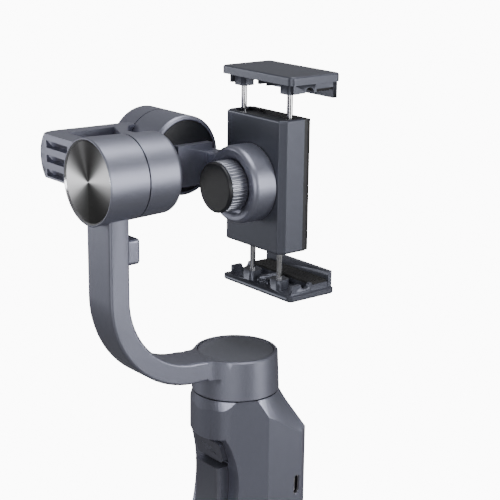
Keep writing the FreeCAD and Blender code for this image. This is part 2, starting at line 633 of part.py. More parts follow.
def roll_skin(z):
    """Outer radius of the roll motor at a distance z from the seam; both halves share one taper."""
    front = ROLL_CAP_Y - ROLL_SEAM_Y
    rear = ROLL_REAR_Y - ROLL_SEAM_Y
    return MOTOR_R + (ROLL_REAR_R - MOTOR_R) * (z - front) / (rear - front)


def arm_side():
    """Side view of the arm: upright, bend and low run into the hub."""
    outer = math.sqrt(0.5) * ARM_BEND_R
    inner = math.sqrt(0.5) * ARM_INNER_R
    top = ROLL_AXIS_Z - 8
    y_in = ARM_OUTER_Y + ARM_THICK
    a = [V(0, ARM_OUTER_Y, top), V(0, ARM_OUTER_Y, BEND_Z), V(0, BEND_Y - outer, BEND_Z - outer),
         V(0, BEND_Y, ARM_LOW_Z), V(0, 0, ARM_LOW_Z), V(0, 0, HUB_TOP), V(0, -14, HUB_TOP),
         V(0, BEND_Y, BEND_Z - ARM_INNER_R), V(0, BEND_Y - inner, BEND_Z - inner), V(0, y_in, BEND_Z),
         V(0, y_in, top)]
    return Part.Wire([Part.makeLine(a[0], a[1]), Part.Arc(a[1], a[2], a[3]).toShape(),
                      Part.makeLine(a[3], a[4]), Part.makeLine(a[4], a[5]), Part.makeLine(a[5], a[6]),
                      Part.makeLine(a[6], a[7]), Part.Arc(a[7], a[8], a[9]).toShape(),
                      Part.makeLine(a[9], a[10]), Part.makeLine(a[10], a[0])])


def neck_plan():
    """Plan view of the neck: the arm's strip flares into the hub through two tangent curves."""
    hub = HUB_R_TOP
    cx = ARM_HALF_X + NECK_R
    cy = -math.sqrt((hub + NECK_R) ** 2 - cx ** 2)
    on_hub = V(cx * hub / (hub + NECK_R), cy * hub / (hub + NECK_R), 0)
    start = V(ARM_HALF_X, cy, 0)
    centre = V(cx, cy, 0)
    mid_dir = (start - centre).normalize() + (on_hub - centre).normalize()
    mid = centre + mid_dir.normalize() * NECK_R
    flip = lambda p: V(-p.x, p.y, p.z)
    back = V(on_hub.x, 0, 0)
    return Part.Wire([Part.makeLine(flip(start), start), Part.Arc(start, mid, on_hub).toShape(),
                      Part.makeLine(on_hub, back), Part.makeLine(back, flip(back)),
                      Part.makeLine(flip(back), flip(on_hub)),
                      Part.Arc(flip(on_hub), flip(mid), flip(start)).toShape()])


def pan_arm():
    side = Part.Face(arm_side())
    arm = side.extrude(V(2 * ARM_HALF_X, 0, 0))
    arm.translate(V(-ARM_HALF_X, 0, 0))
    long_edge = lambda e: (abs(abs(middle(e).x) - ARM_HALF_X) < 0.01 and middle(e).y < -5
                           and middle(e).z < ROLL_AXIS_Z - 9)
    arm = round_edges(arm, ARM_EDGE_R, long_edge)
    neck = side.extrude(V(60, 0, 0))
    neck.translate(V(-30, 0, 0))
    neck = neck.common(Part.Face(neck_plan()).extrude(V(0, 0, 400)))
    arm = arm.fuse(neck)
    low = HANDLE_TOP + PAN_GAP
    hub = spin([(0, low), (HUB_R_BOTTOM, low), (HUB_R_TOP, HUB_TOP - 0.6), (HUB_R_TOP - 0.5, HUB_TOP), (0, HUB_TOP)])
    front = ROLL_CAP_Y - ROLL_SEAM_Y
    r0, r1 = roll_skin(front), roll_skin(0)
    cup = spin([(0, front), (r0 - 0.4, front), (r0, front + 0.4), (r1, 0), (0, 0)])
    arm = fused([arm, hub, placed(cup, *ROLL)])
    hollow = spin([(0, front - 1), (r0 - 0.65, front - 1), (r0 - 0.65, front + CAP_SEAT + 0.6),
                   (r0 - MOTOR_WALL, front + CAP_SEAT + 0.6), (r1 - MOTOR_WALL, FLANGE_Z), (2.9, FLANGE_Z),
                   (2.9, FLANGE_Z + FLANGE_T), (r1 - MOTOR_WALL, FLANGE_Z + FLANGE_T),
                   (r1 - MOTOR_WALL, 1), (0, 1)])
    arm = arm.cut(placed(hollow, *ROLL)).fuse(placed(bearing_tube(), *ROLL))
    arm = arm.cut(placed(rotor_cavity(0), *PAN))
    seat = rod(CAP_DISC_R + 0.25, V(0, 0, HUB_TOP - CAP_SEAT), V(0, 0, HUB_TOP + 1))
    return arm.cut(seat).removeSplitter()


def pan_cap_disc():
    top = HUB_TOP - 0.2
    disc = rod(CAP_DISC_R, V(0, 0, HUB_TOP - CAP_SEAT), V(0, 0, top))
    return chamfer_edges(disc, 0.25, lambda e: abs(middle(e).z - top) < 0.01)


def roll_cap_ring():
    front = ROLL_CAP_Y - ROLL_SEAM_Y
    r = roll_skin(front) - 0.65
    profile = [(r - 0.7, front + CAP_SEAT + 0.6), (r, front + CAP_SEAT + 0.6), (r, front + 0.1),
               (r - 0.1, front), (r - 0.7, front + 0.55)]
    return placed(spin(profile), *ROLL)


def roll_cap_disc():
    front = ROLL_CAP_Y - ROLL_SEAM_Y
    r = roll_skin(front) - 0.65 - 0.7
    return placed(spin([(0, front + 0.55), (r - 0.1, front + 0.55), (r - 0.1, front + CAP_SEAT + 0.6),
                        (0, front + CAP_SEAT + 0.6)]), *ROLL)


def arm_stop_block():
    y = ARM_OUTER_Y + ARM_THICK
    block = box(-STOP_HALF_X, STOP_HALF_X, y, y + STOP_REACH, *STOP_Z)
    outer = lambda e: abs(middle(e).y - y) > 0.01
    return round_edges(block, 1.5, outer)


# ---- roll arm -----------------------------------------------------------------------------

def roll_rotor_housing():
    rear = ROLL_REAR_Y - ROLL_SEAM_Y
    round_r = 2.4
    r0, r1 = roll_skin(SEAM_GAP), roll_skin(rear)
    body = spin([(0, SEAM_GAP), (r0, SEAM_GAP), (r1, rear), (0, rear)])
    body = round_edges(body, round_r, lambda e: on_ring(e, r1, 0.2))
    return placed(body.cut(rotor_cavity(SEAM_GAP)), *ROLL)


def bar_section(y, edge_x):
    """Section of the side wall at one y: crowned outside, flat inside."""
    mid_z = (BAR_TOP_Z + BAR_BOTTOM_Z) / 2
    top, low = V(edge_x, y, BAR_TOP_Z), V(edge_x, y, BAR_BOTTOM_Z)
    inner_low, inner_top = V(BAR_INNER_X, y, BAR_BOTTOM_Z), V(BAR_INNER_X, y, BAR_TOP_Z)
    return Part.Wire([Part.Arc(top, V(edge_x - BAR_BULGE, y, mid_z), low).toShape(),
                      Part.makeLine(low, inner_low), Part.makeLine(inner_low, inner_top),
                      Part.makeLine(inner_top, top)])


def roll_arm():
    """Side wall with its pocketed end block, a slanting bridge to the roll motor and the tilt motor's cup."""
    sections = [bar_section(*at) for at in BAR_PLAN]
    pieces = [Part.makeLoft(list(pair), True, True) for pair in zip(sections, sections[1:])]
    pieces.append(box(BAR_INNER_X - 1, -12.0, BAR_END_Y, BAR_BLOCK_Y, BAR_BOTTOM_Z, BAR_TOP_Z))
    pockets = []
    for step in (1, 0, -1):
        z = POCKET_MID_Z + step * POCKET_PITCH
        pocket = box(-38.2, -22.5, BAR_END_Y - 1, BAR_END_Y + POCKET_DEPTH, z - POCKET_H / 2, z + POCKET_H / 2)
        shelf = box(-31.5, -22.5, BAR_END_Y + 0.8, BAR_END_Y + POCKET_DEPTH, z, z + POCKET_H / 2)
        pockets.append(pocket.cut(shelf))
    pieces = [piece.cut(Part.makeCompound(pockets)) for piece in pieces]
    plan = [(-8, -44), (-20, -43), (BAR_INNER_X, -35.6), (BAR_INNER_X - 2, -31), (-33.4, -30), (-23, ROLL_REAR_Y),
            (-8, ROLL_REAR_Y)]
    bridge = prism([V(x, y, BAR_BOTTOM_Z) for x, y in plan], V(0, 0, BAR_TOP_Z - BAR_BOTTOM_Z + 0.8))
    arm = fused(pieces + [bridge])
    left = TILT_LEFT_X - TILT_SEAM_X
    right = TILT_RIGHT_X - TILT_SEAM_X
    room = placed(rod(TILT_R + SWING_GAP, V(0, 0, 0), V(0, 0, right)), *TILT)
    tilt_cup = spin([(0, left), (TILT_R - 1.0, left), (TILT_R, left + 1.0), (TILT_R, 0), (0, 0)])
    arm = fused([arm.cut(room), placed(tilt_cup, *TILT)])
    front = ROLL_CAP_Y - ROLL_SEAM_Y
    fixed = spin([(0, front - 2), (MOTOR_R + SWING_GAP, front - 2), (MOTOR_R + SWING_GAP, SEAM_GAP), (0, SEAM_GAP)])
    rear = ROLL_REAR_Y - ROLL_SEAM_Y
    turning = spin([(0, SEAM_GAP), (roll_skin(SEAM_GAP), SEAM_GAP), (roll_skin(rear), rear), (0, rear)])
    arm = arm.cut(placed(fixed, *ROLL)).cut(placed(turning, *ROLL))
    r = TILT_R - MOTOR_WALL
    hollow = spin([(0, left - 1), (CAP_DISC_R - 0.4, left - 1), (CAP_DISC_R - 0.4, left + CAP_SEAT),
                   (r, left + CAP_SEAT), (r, FLANGE_Z), (2.9, FLANGE_Z), (2.9, FLANGE_Z + FLANGE_T),
                   (r, FLANGE_Z + FLANGE_T), (r, 1), (0, 1)])
    arm = arm.cut(placed(hollow, *TILT)).fuse(placed(bearing_tube(), *TILT))
    return arm.removeSplitter()


def tilt_cap_disc():
    left = TILT_LEFT_X - TILT_SEAM_X
    r = CAP_DISC_R - 0.6
    return placed(spin([(0, left + 0.2), (r - 0.2, left + 0.2), (r, left + 0.4), (r, left + CAP_SEAT),
                        (0, left + CAP_SEAT)]), *TILT)


# ---- tilt arm -----------------------------------------------------------------------------


def tilt_rotor_housing():
    right = TILT_RIGHT_X - TILT_SEAM_X
    body = spin([(0, SEAM_GAP), (TILT_R, SEAM_GAP), (TILT_R, right - 1.2), (TILT_R - 0.5, right - 0.3),
                 (TILT_R - 1.4, right), (0, right)])
    seat = rod(TILT_R - 1.8, V(0, 0, right - END_DISC_T), V(0, 0, right + 1))
    return placed(body.cut(seat).cut(rotor_cavity(SEAM_GAP)), *TILT)


def tilt_end_disc():
    right = TILT_RIGHT_X - TILT_SEAM_X
    return placed(rod(TILT_R - 1.95, V(0, 0, right - END_DISC_T), V(0, 0, right - 0.3)), *TILT)


def tilt_arm():
    low = TILT_BAR_TOP_Z - TILT_BAR_H
    root_x = TILT_RIGHT_X - 0.3
    bar = box(root_x, PIVOT_X, TILT_BAR_FRONT_Y, TILT_BAR_FRONT_Y + TILT_BAR_T, low, TILT_BAR_TOP_Z)
    along = lambda e: abs(e.tangentAt(e.FirstParameter).x) > 0.99
    bar = round_edges(bar, 1.6, along)
    root = box(root_x, root_x + 3.6, TILT_AXIS_Y - 6.0, TILT_BAR_FRONT_Y + 3, ROLL_AXIS_Z - 12.0, ROLL_AXIS_Z + 5.0)
    thick = BOSS_REAR_Y - BOSS_FRONT_Y
    boss = spin([(0, 0), (BOSS_R - 1.6, 0), (BOSS_R - 0.9, 0.3), (BOSS_R - 0.4, 1.0), (BOSS_R, 2.6),
                 (BOSS_R, thick), (0, thick)])
    arm = fused([bar, root, placed(boss, V(PIVOT_X, BOSS_FRONT_Y, PIVOT_Z), V(0, 1, 0))])
    at = lambda y: V(PIVOT_X, y, PIVOT_Z)
    arm = arm.cut(rod(KNOB_R + 1.2, at(BOSS_FRONT_Y - 1), at(KNOB_SKIRT_Y + BODY_GAP + 1.2)))
    arm = arm.cut(rod(STUD_R + RUN_GAP, at(BOSS_FRONT_Y - 1), at(BOSS_REAR_Y + 1)))
    return arm.cut(tilt_rotor_housing()).removeSplitter()


# ---- clamp --------------------------------------------------------------------------------

def clamp_plan(z):
    hx, cx, cy = CLAMP_HALF_X, CLAMP_CHAMFER_X, CLAMP_CHAMFER_Y
    y0, y1 = CLAMP_FACE_Y, CLAMP_SIDE_Y
    return [V(PIVOT_X + x, y, z) for x, y in ((-hx + cx, y0), (hx - cx, y0), (hx, y0 + cy), (hx, y1),
                                              (-hx, y1), (-hx, y0 + cy))]


def rods_at(name, z0, z1, radius):
    """The pair of cylinders that a jaw's two rods stand on."""
    half, y = JAWS[name][2:4]
    return [rod(radius, V(PIVOT_X + s * half, y, z0), V(PIVOT_X + s * half, y, z1)) for s in (-1, 1)]


def clamp_body():
    shell = prism(clamp_plan(CLAMP_LOW), V(0, 0, 2 * CLAMP_HALF_Z))
    outer = lambda e: abs(abs(middle(e).z - CLAMP_MID_Z) - CLAMP_HALF_Z) < 0.01 and middle(e).y < CLAMP_SIDE_Y - 1
    upright = lambda e: abs(e.tangentAt(e.FirstParameter).z) > 0.9 and middle(e).y < CLAMP_SIDE_Y - 1
    shell = round_edges(round_edges(shell, 0.6, upright), 1.0, outer)
    x0, x1 = PIVOT_X - CLAMP_HALF_X + 1.5, PIVOT_X + CLAMP_HALF_X - 1.5
    y0 = CLAMP_FACE_Y + CLAMP_WALL
    inset = END_RECESS + END_WALL
    shell = shell.cut(box(x0, x1, y0 + 0.6, 30, CLAMP_LOW + inset, CLAMP_HIGH - inset))
    for z0, z1 in ((CLAMP_LOW - 1, CLAMP_LOW + END_RECESS), (CLAMP_HIGH - END_RECESS, CLAMP_HIGH + 1)):
        shell = shell.cut(box(x0, x1, y0 - 0.4, 30, z0, z1))
    posts = [rod(2.2, V(PIVOT_X + s * POST_X, y0, CLAMP_MID_Z + t * POST_Z),
                 V(PIVOT_X + s * POST_X, CLAMP_SIDE_Y - PLATE_PLUG, CLAMP_MID_Z + t * POST_Z))
             for s in (-1, 1) for t in (-1, 1)]
    stud_pad = rod(6.0, V(PIVOT_X, y0, PIVOT_Z), V(PIVOT_X, y0 + 1.6, PIVOT_Z))
    shell = fused([shell, stud_pad] + posts)
    for s in (-1, 1):
        for t in (-1, 1):
            shell = shell.cut(rod(SCREW_R, V(PIVOT_X + s * POST_X, y0 + 1, CLAMP_MID_Z + t * POST_Z),
                                  V(PIVOT_X + s * POST_X, CLAMP_SIDE_Y, CLAMP_MID_Z + t * POST_Z)))
    bore = ROD_R + RUN_GAP
    shell = shell.cut(Part.makeCompound(rods_at("upper", CLAMP_MID_Z, CLAMP_HIGH + 5, bore)))
    shell = shell.cut(Part.makeCompound(rods_at("lower", CLAMP_LOW - 5, CLAMP_MID_Z, bore)))
    stud = rod(STUD_R, V(PIVOT_X, CLAMP_FACE_Y - 1, PIVOT_Z), V(PIVOT_X, y0 + 3, PIVOT_Z))
    return shell.cut(stud).removeSplitter()


def clamp_back_plate():
    inset = END_RECESS + END_WALL
    inner = box(PIVOT_X - CLAMP_HALF_X + 1.6, PIVOT_X + CLAMP_HALF_X - 1.6, CLAMP_SIDE_Y - PLATE_PLUG, CLAMP_SIDE_Y,
                CLAMP_LOW + inset + 0.1, CLAMP_HIGH - inset - 0.1)
    outer = box(PIVOT_X - CLAMP_HALF_X + 0.2, PIVOT_X + CLAMP_HALF_X - 0.2, CLAMP_SIDE_Y, CLAMP_SIDE_Y + 1.6,
                CLAMP_LOW + 0.2, CLAMP_HIGH - 0.2)
    plate = fused([inner, outer])
    for s in (-1, 1):
        for t in (-1, 1):
            at = lambda y: V(PIVOT_X + s * POST_X, y, CLAMP_MID_Z + t * POST_Z)
            plate = plate.cut(rod(SCREW_R, at(0), at(30)).fuse(rod(2.0, at(CLAMP_SIDE_Y), at(30))))
    return plate


def clamp_screws():
    screws = []
    for s in (-1, 1):
        for t in (-1, 1):
            at = lambda y: V(PIVOT_X + s * POST_X, y, CLAMP_MID_Z + t * POST_Z)
            shank = rod(SCREW_R, at(CLAMP_FACE_Y + CLAMP_WALL + 2), at(CLAMP_SIDE_Y + 0.1))
            screws.append(shank.fuse(rod(1.9, at(CLAMP_SIDE_Y), at(CLAMP_SIDE_Y + 1.3))))
    return Part.makeCompound(screws)


def clamp_pad():
    pad = box(PIVOT_X - CLAMP_HALF_X + 0.4, PIVOT_X + CLAMP_HALF_X - 0.4, CLAMP_SIDE_Y + 1.6, PAD_BACK_Y,
              CLAMP_LOW + 0.4, CLAMP_HIGH - 0.4)
    corner = lambda e: abs(e.tangentAt(e.FirstParameter).y) > 0.9
    return round_edges(pad, 2.0, corner)


def pivot_stud():
    at = lambda y: V(PIVOT_X, y, PIVOT_Z)
    y0 = CLAMP_FACE_Y + CLAMP_WALL + 1.6
    head = rod(4.4, at(y0), at(y0 + 1.9))
    return head.fuse(rod(STUD_R, at(KNOB_FACE_Y + KNOB_CAP_T + 1.4), at(y0 + 0.1))).removeSplitter()


def clamp_knob():
    """Knurled wheel behind its cap, with a bore for the stud."""
    at = lambda y: V(PIVOT_X, y, PIVOT_Z)
    teeth = 40
    points = []
    for i in range(teeth):
        for radius, part in ((KNOB_R, -0.28), (KNOB_R, 0.28), (KNOB_R - 0.55, 0.40), (KNOB_R - 0.55, 0.60)):
            t = 2 * math.pi * (i + part) / teeth
            points.append(V(radius * math.cos(t), radius * math.sin(t), 0))
    face = KNOB_FACE_Y + KNOB_CAP_T
    knurl = placed(prism(points, V(0, 0, KNOB_SKIRT_Y - face)), at(face), V(0, 1, 0))
    seat = rod(CAP_SPIGOT_R, at(face), at(face + 1.0))
    return knurl.cut(seat).cut(rod(STUD_R + RUN_GAP, at(face), at(KNOB_SKIRT_Y + 1))).removeSplitter()


def knob_cap():
    """Domed-edge disc over the whole face of the knob, located by a spigot."""
    at = lambda y: V(PIVOT_X, y, PIVOT_Z)
    face = KNOB_FACE_Y + KNOB_CAP_T
    disc = rod(KNOB_R - 0.15, at(KNOB_FACE_Y), at(face))
    disc = round_edges(disc, 0.9, lambda e: abs(middle(e).y - KNOB_FACE_Y) < 0.01)
    return disc.fuse(rod(CAP_SPIGOT_R, at(face - 0.1), at(face + 1.0))).removeSplitter()


def jaw(name):
    """One clamp jaw: plate, rod bosses, end webs, phone foot and hook lip."""
    grip_z, side, rod_half, rod_y, front_y, reach, plate_t = JAWS[name]
    up = lambda a, b: tuple(sorted((grip_z + side * a, grip_z + side * b)))
    x0, x1 = PIVOT_X - JAW_HALF_X, PIVOT_X + JAW_HALF_X
    inner = reach - plate_t
    plate = box(x0, x1, front_y, JAW_BACK_Y, *up(inner, reach))
    upright = lambda e: abs(e.tangentAt(e.FirstParameter).z) > 0.9
    plate = round_edges(plate, 2.2, upright)
    outer_z = grip_z + side * reach
    plate = round_edges(plate, 0.9, lambda e: abs(middle(e).z - outer_z) < 0.01)
    lip = box(x0 + 2.2, x1 - 2.2, JAW_BACK_Y - LIP_T, JAW_BACK_Y, *up(-3.0, inner + 0.5))
    foot = box(x0 + 2.4, x1 - 2.4, FOOT_Y[0] + 0.4, FOOT_Y[1] + 0.3, *up(1.4, inner + 0.5))
    bosses = [box(PIVOT_X + s * rod_half - 3.4, PIVOT_X + s * rod_half + 3.4, rod_y - 3.2, rod_y + 3.2,
                  *up(-0.4, inner + 0.5)) for s in (-1, 1)]
    bosses = [round_edges(b, 1.8, upright) for b in bosses]
    webs = [box(PIVOT_X + s * (JAW_HALF_X - 3.0) - 0.8, PIVOT_X + s * (JAW_HALF_X - 3.0) + 0.8,
                front_y + 3.0, FOOT_Y[0] + 0.5, *up(0.2, inner + 0.5)) for s in (-1, 1)]
    ribs = [box(PIVOT_X + x - 0.7, PIVOT_X + x + 0.7, front_y + 4, FOOT_Y[0] + 0.5, *up(1.4, inner + 0.5))
            for x in (-2.6, 2.6)]
    body = fused([plate, lip, foot] + bosses + webs + ribs)
    notches = [rod(2.2, V(PIVOT_X + s * JAW_HALF_X, 16.6, grip_z + side * 0.2),
                   V(PIVOT_X + s * (JAW_HALF_X - 6.0), 16.6, grip_z + side * 0.2)) for s in (-1, 1)]
    body = body.cut(Part.makeCompound(notches))
    ends = rods_at(name, grip_z - side * 3.0, grip_z + side * (inner + 1.6), ROD_R)
    return body.cut(Part.makeCompound(ends)).removeSplitter()


def jaw_pad(name):
    grip_z, side = JAWS[name][:2]
    low, high = sorted((grip_z, grip_z + side * 1.4))
    pad = box(PIVOT_X - JAW_HALF_X + 3.0, PIVOT_X + JAW_HALF_X - 3.0, FOOT_Y[0] + 0.6, FOOT_Y[1] - 0.2, low, high)
    return round_edges(pad, 0.5, lambda e: abs(middle(e).z - grip_z) < 0.01)


def far_wall(side):
    """Inner face of the clamp's end wall on the side away from the jaw."""
    return (CLAMP_LOW if side > 0 else CLAMP_HIGH) + side * (END_RECESS + END_WALL)


def jaw_rods(name):
    """Two polished rods with a spring collar at the inner end."""
    grip_z, side, reach, plate_t = JAWS[name][0], JAWS[name][1], JAWS[name][5], JAWS[name][6]
    inner_end = far_wall(side) + side * (ROD_TRAVEL + 1.0)
    rods = rods_at(name, inner_end, grip_z + side * (reach - plate_t + 1.6), ROD_R)
    collars = rods_at(name, inner_end, inner_end + side * 1.4, COLLAR_R)
    return Part.makeCompound([r.fuse(c).removeSplitter() for r, c in zip(rods, collars)])


def jaw_springs(name):
    """Coil springs on the rods, between the collar and the clamp's end wall."""
    side, rod_half, rod_y = JAWS[name][1:4]
    start = far_wall(side) + side * (ROD_TRAVEL + 2.5)
    end = far_wall(-side) - side * 0.1
    wire_r, coil_r, turns = 0.25, 1.75, 12
    low, high = min(start, end) + wire_r, max(start, end) - wire_r
    path = Part.makeHelix((high - low) / turns, high - low, coil_r)
    section = Part.Wire(Part.makeCircle(wire_r, V(coil_r, 0, 0), V(0, 1, 0)))
    coil = Part.Wire(path).makePipeShell([section], True, True)
    springs = []
    for s in (-1, 1):
        copy = coil.copy()
        copy.translate(V(PIVOT_X + s * rod_half, rod_y, low))
        springs.append(copy)
    return Part.makeCompound(springs)


# ---- write every piece --------------------------------------------------------------------

PIECES = {
    "handle_shell": handle_shell, "front_panel": front_panel, "base_cap": base_cap,
    "tripod_insert": tripod_insert, "pan_motor_base": pan_motor_base, "battery_cell": battery_cell,
    "battery_cradle": battery_cradle, "main_board": main_board, "usb_socket": usb_socket,
    "function_button": function_button, "trigger": trigger, "trigger_pin": trigger_pin,
    "shutter_button": shutter_button, "mode_button": mode_button, "joystick_mount": joystick_mount,
    "joystick_cradle": joystick_cradle, "joystick_cap": joystick_cap, "joystick_pin": joystick_pin,
    "pan_arm": pan_arm, "pan_cap_disc": pan_cap_disc, "roll_cap_ring": roll_cap_ring,
    "roll_cap_disc": roll_cap_disc, "arm_stop_block": arm_stop_block,
    "roll_rotor_housing": roll_rotor_housing, "roll_arm": roll_arm, "tilt_cap_disc": tilt_cap_disc,
    "tilt_rotor_housing": tilt_rotor_housing, "tilt_end_disc": tilt_end_disc, "tilt_arm": tilt_arm,
    "clamp_body": clamp_body, "clamp_back_plate": clamp_back_plate, "clamp_screws": clamp_screws,
    "clamp_pad": clamp_pad, "pivot_stud": pivot_stud, "clamp_knob": clamp_knob, "knob_cap": knob_cap,
}

for piece_name, make in PIECES.items():
    save(piece_name, make())

for axis_name, where in (("pan", PAN), ("roll", ROLL), ("tilt", TILT)):
    save_motor(axis_name, where)

for jaw_name in JAWS:
    for part_name, make in (("jaw", jaw), ("rods", jaw_rods), ("pad", jaw_pad), ("springs", jaw_springs)):
        save(jaw_name + "_" + part_name, make(jaw_name))
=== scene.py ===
# %% [markdown]
# # A handheld camera gimbal for a phone
# This lesson dresses a finished CAD assembly. The CAD part says where every piece is and how it
# moves. Blender adds what the eye sees: satin paint, a spun metal cap, a coarse knurl, polished
# rods and soft studio light. No piece is moved or resized here.

import json
import math

import bmesh
import bpy
from mathutils import Matrix, Vector


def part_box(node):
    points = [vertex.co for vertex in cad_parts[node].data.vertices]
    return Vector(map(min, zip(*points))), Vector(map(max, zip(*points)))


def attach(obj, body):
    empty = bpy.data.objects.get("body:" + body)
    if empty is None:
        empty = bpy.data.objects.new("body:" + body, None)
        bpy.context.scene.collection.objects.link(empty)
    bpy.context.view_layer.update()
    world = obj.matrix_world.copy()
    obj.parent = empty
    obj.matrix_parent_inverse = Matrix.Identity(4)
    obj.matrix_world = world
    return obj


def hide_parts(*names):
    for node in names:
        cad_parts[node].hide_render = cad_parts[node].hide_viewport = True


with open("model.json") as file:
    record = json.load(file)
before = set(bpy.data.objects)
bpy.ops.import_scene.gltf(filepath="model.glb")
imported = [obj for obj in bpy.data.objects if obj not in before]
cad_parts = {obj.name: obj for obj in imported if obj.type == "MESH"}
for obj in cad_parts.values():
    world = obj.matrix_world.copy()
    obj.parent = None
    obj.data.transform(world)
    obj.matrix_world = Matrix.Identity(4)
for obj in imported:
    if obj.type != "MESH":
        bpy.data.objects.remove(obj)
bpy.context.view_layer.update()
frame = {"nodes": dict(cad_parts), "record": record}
nodes = frame["nodes"]
slot_of = {s["node"]: s["material_slot"] for s in frame["record"]["subparts"]}
body_of = {n: b for b, members in frame["record"]["behaviour"]["bodies"].items() for n in members}

# %% [markdown]
# ## Wiring a finish
# A finish is a Principled shader plus a few textures that break up its colour, its gloss and its
# surface. Writing the links by hand each time is slow, so a few small helpers add nodes with their
# settings and join the sockets. Every texture reads Object coordinates: they are metres in the CAD
# frame, so a grain has the same real size on every piece.

# %% Node helpers
def add_node(tree, kind, **settings):
    """A node of that kind; a setting names an attribute, or an input when its name has a capital."""
    node = tree.nodes.new(kind)
    for key, value in settings.items():
        if key[0].isupper():
            node.inputs[key.replace("_", " ")].default_value = value
        else:
            setattr(node, key, value)
    return node


def new_finish(name, colour, metallic, roughness, **sockets):
    """A material with a Principled shader; returns the material, its tree, shader and coordinates."""
    material = bpy.data.materials.new(name)
    material.use_nodes = True
    tree = material.node_tree
    shader = tree.nodes["Principled BSDF"]
    shader.inputs["Base Color"].default_value = (*colour, 1)
    shader.inputs["Metallic"].default_value = metallic
    shader.inputs["Roughness"].default_value = roughness
    for key, value in sockets.items():
        shader.inputs[key.replace("_", " ")].default_value = value
    coords = add_node(tree, "ShaderNodeTexCoord").outputs["Object"]
    return material, tree, shader, coords


def noise(tree, coords, scale, detail=2.0):
    node = add_node(tree, "ShaderNodeTexNoise", Scale=scale, Detail=detail, Roughness=0.55)
    tree.links.new(coords, node.inputs["Vector"])
    return node.outputs["Fac"]


def spread(tree, value, low, high, bottom=0.3, top=0.7):
    """Maps a noise value to the range low..high."""
    node = add_node(tree, "ShaderNodeMapRange", From_Min=bottom, From_Max=top, To_Min=low, To_Max=high)
    tree.links.new(value, node.inputs["Value"])
    return node.outputs["Result"]


def tint(tree, factor, dark, light):
    node = add_node(tree, "ShaderNodeMix", data_type="RGBA")
    for socket in node.inputs:
        if socket.type == "RGBA" and socket.name == "A":
            socket.default_value = (*dark, 1)
        if socket.type == "RGBA" and socket.name == "B":
            socket.default_value = (*light, 1)
    tree.links.new(factor, node.inputs[0])
    return next(o for o in node.outputs if o.type == "RGBA")


def bump(tree, shader, height, distance, strength=1.0):
    node = add_node(tree, "ShaderNodeBump", Distance=distance, Strength=strength)
    tree.links.new(height, node.inputs["Height"])
    tree.links.new(node.outputs["Normal"], shader.inputs["Normal"])
    return node


print("node helpers ready")


# %% [markdown]
# ## Satin metallic paint
# The motors, arms and grip have one kind of paint: a grey with a touch of violet, full of fine
# metal flake under a matt clear coat. Flake makes the colour and the gloss change slightly from
# grain to grain. A fine noise gives that, with a very slight bump, and a coarser noise clouds the
# colour a little, as a sprayed coat does.

# %% Satin paint
def satin_paint(name, colour, metallic, roughness, flake=0.10):
    material, tree, shader, coords = new_finish(name, colour, metallic, roughness)
    fine = noise(tree, coords, 4200.0, 3.0)
    broad = noise(tree, coords, 55.0, 2.0)
    shade = add_node(tree, "ShaderNodeMath", operation="MULTIPLY_ADD")
    tree.links.new(fine, shade.inputs[0])
    shade.inputs[1].default_value = 0.8
    tree.links.new(spread(tree, broad, 0.0, 0.2), shade.inputs[2])
    dark = tuple(c * (1 - flake) for c in colour)
    light = tuple(min(1.0, c * (1 + flake)) for c in colour)
    tree.links.new(tint(tree, shade.outputs[0], dark, light), shader.inputs["Base Color"])
    tree.links.new(spread(tree, fine, roughness - 0.03, roughness + 0.04), shader.inputs["Roughness"])
    bump(tree, shader, fine, 0.00002, 0.5)
    return material


finishes = {
    "satin_alloy": satin_paint("satin_alloy", (0.285, 0.294, 0.365), 0.80, 0.40),
    "grip_paint": satin_paint("grip_paint", (0.265, 0.274, 0.345), 0.75, 0.34),
    "clamp_paint": satin_paint("clamp_paint", (0.100, 0.106, 0.134), 0.55, 0.36),
    "disc_inlay": satin_paint("disc_inlay", (0.210, 0.218, 0.260), 0.40, 0.48),
    "button_plastic": satin_paint("button_plastic", (0.135, 0.138, 0.172), 0.5, 0.45),
    "cast_alloy": satin_paint("cast_alloy", (0.55, 0.55, 0.57), 0.9, 0.45),
    "knob_grey": satin_paint("knob_grey", (0.36, 0.37, 0.42), 0.85, 0.34),
}
print("paints:", list(finishes))


# %% [markdown]
# ## Black mouldings and rubber
# The control panel, the clamp's back plate and the knob's cap are moulded plastic, and the pads and
# the joystick's cap are rubber. Moulds for plastic are spark-eroded, which leaves fine pits, and
# rubber is duller. A fine noise gives the pits as a bump and a small change of gloss, and a broad
# one clouds the colour. A bump is enough here, since the pits are far smaller than anything that
# shows on an outline.

# %% Plastics and rubber
def moulded(name, colour, roughness, grain, depth):
    material, tree, shader, coords = new_finish(name, colour, 0.0, roughness)
    pits = noise(tree, coords, grain, 4.0)
    cloud = noise(tree, coords, 70.0, 2.0)
    dark = tuple(c * 0.8 for c in colour)
    light = tuple(c * 1.25 for c in colour)
    tree.links.new(tint(tree, cloud, dark, light), shader.inputs["Base Color"])
    tree.links.new(spread(tree, pits, roughness - 0.05, roughness + 0.08), shader.inputs["Roughness"])
    bump(tree, shader, pits, depth, 0.6)
    return material


finishes["black_plastic"] = moulded("black_plastic", (0.012, 0.013, 0.017), 0.38, 2500.0, 0.00002)
finishes["panel_black"] = moulded("panel_black", (0.020, 0.021, 0.026), 0.28, 1800.0, 0.00001)
finishes["rubber"] = moulded("rubber", (0.014, 0.014, 0.016), 0.72, 1500.0, 0.00004)
finishes["board"] = moulded("board", (0.010, 0.09, 0.04), 0.35, 900.0, 0.00002)
print("mouldings done")


# %% [markdown]
# ## Bare metals
# Rods, shafts, springs, screws and magnets are bare metal: bright, with faint streaks from drawing
# and polishing. A noise stretched along one axis makes long streaks, which change the colour and
# the gloss a little. The same function makes chrome, steel, copper and brass from a colour and a
# roughness.

